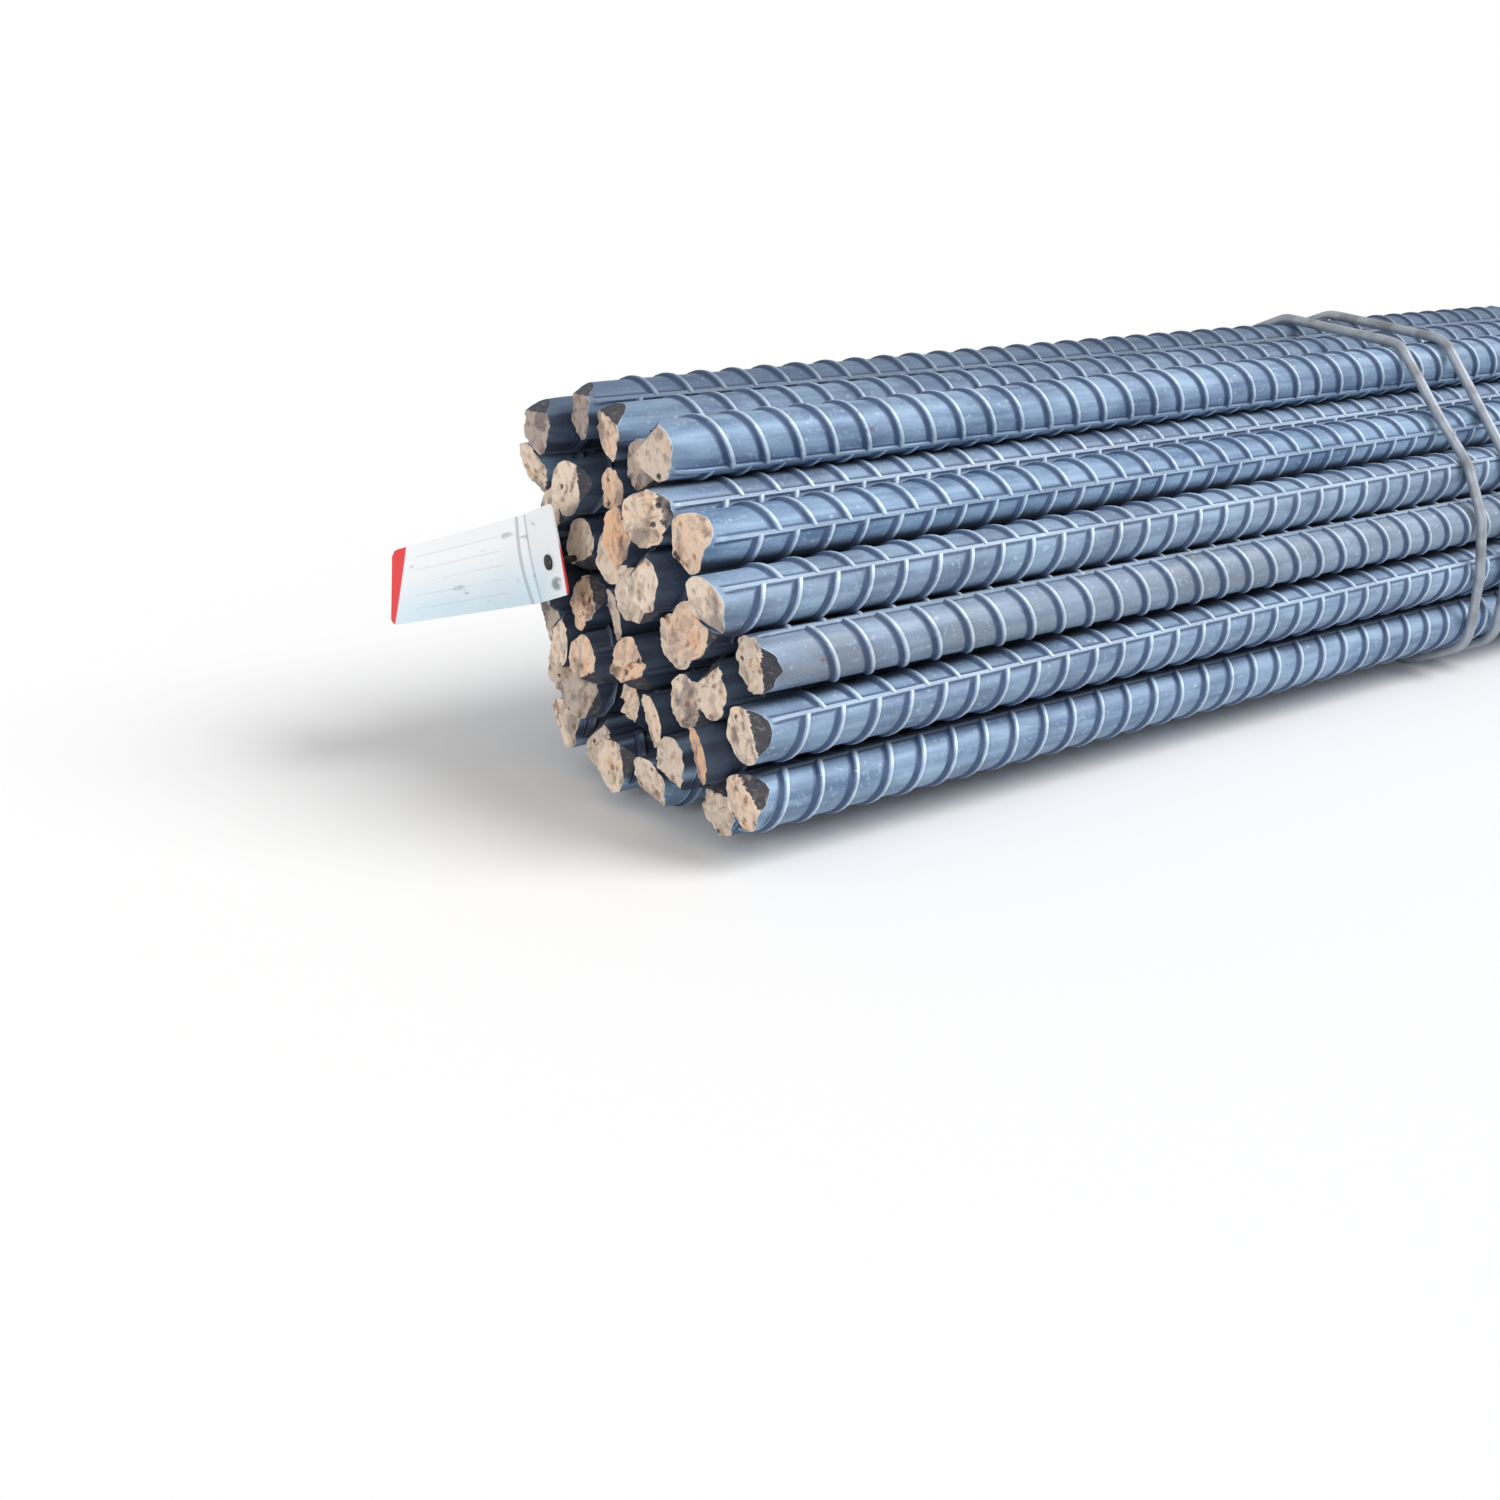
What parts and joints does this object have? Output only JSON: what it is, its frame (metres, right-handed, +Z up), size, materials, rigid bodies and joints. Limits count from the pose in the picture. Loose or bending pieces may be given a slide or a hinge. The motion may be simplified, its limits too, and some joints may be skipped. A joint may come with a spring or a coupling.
{
  "type": "rebar bundle",
  "caption": "Round bundle of ribbed steel reinforcing bars with sheared ends, bound by double wraps of tie wire, with a plain tag nailed to one bar end.",
  "frame": {"origin": "middle of the bundle's underside, on the floor that it lies on", "axes": "+X along the bars from the tagged near end to the far end, +Y across the bundle away from the side with the loose column of bars, +Z up"},
  "size_m": [6.085, 0.2272, 0.1864],
  "materials": {
    "bar_steel": "blue-grey mill scale, cream and rust-brown sheared ends",
    "tie_wire": "drawn grey wire rod with a little rust",
    "tag_sheet": "white sheet with a pale blue cast, red edge stripe and plain ruled lines",
    "nail_steel": "dark grey welded stud"
  },
  "bodies": {
    "root": {"bar_01": "bar_steel", "bar_02": "bar_steel", "bar_03": "bar_steel", "bar_04": "bar_steel", "bar_05": "bar_steel", "bar_06": "bar_steel", "bar_07": "bar_steel", "bar_08": "bar_steel", "bar_09": "bar_steel", "bar_10": "bar_steel", "bar_11": "bar_steel", "bar_12": "bar_steel", "bar_13": "bar_steel", "bar_14": "bar_steel", "bar_15": "bar_steel", "bar_16": "bar_steel", "bar_17": "bar_steel", "bar_18": "bar_steel", "bar_19": "bar_steel", "bar_20": "bar_steel", "bar_21": "bar_steel", "bar_22": "bar_steel", "bar_23": "bar_steel", "bar_24": "bar_steel", "bar_25": "bar_steel", "bar_26": "bar_steel", "bar_27": "bar_steel", "bar_28": "bar_steel", "bar_29": "bar_steel", "bar_30": "bar_steel", "bar_31": "bar_steel", "bar_32": "bar_steel", "bar_33": "bar_steel", "bar_34": "bar_steel", "bar_35": "bar_steel", "bar_36": "bar_steel", "bar_37": "bar_steel", "bar_38": "bar_steel", "bar_39": "bar_steel", "bar_40": "bar_steel", "bar_41": "bar_steel", "bar_42": "bar_steel", "bar_43": "bar_steel", "bar_44": "bar_steel", "tag": "tag_sheet", "tag_nail": "nail_steel", "tie_1": "tie_wire", "tie_2": "tie_wire", "tie_3": "tie_wire", "tie_4": "tie_wire"}
  },
  "joints": []
}
